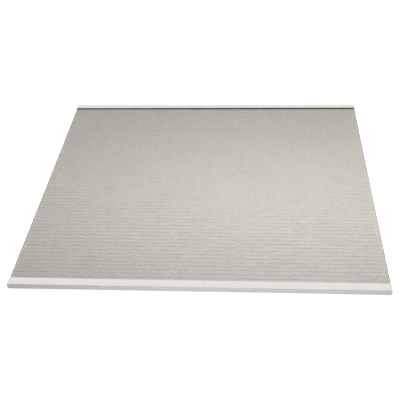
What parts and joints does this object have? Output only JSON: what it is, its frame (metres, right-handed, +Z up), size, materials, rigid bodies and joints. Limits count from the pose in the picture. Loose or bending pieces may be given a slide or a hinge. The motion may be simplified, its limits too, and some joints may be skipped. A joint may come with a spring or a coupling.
{
  "type": "refrigerator glass shelf",
  "caption": "Flat glass refrigerator shelf with a fine printed screen and white plastic channel trims along its front and rear edges; it lies over the crisper drawer as its cover.",
  "frame": {"origin": "centre of the shelf's footprint, on the surface that the trims rest on", "axes": "+X along the trims to the right as seen from the front, +Y to the rear, +Z up"},
  "size_m": [0.4606, 0.433, 0.0077],
  "materials": {
    "printed_glass": "grey-tinted toughened glass with fine rows of satin silver-grey enamel dashes",
    "white_trim": "satin white extrusion"
  },
  "bodies": {
    "root": {"glass_plate": "printed_glass", "front_trim": "white_trim", "rear_trim": "white_trim"}
  },
  "joints": []
}
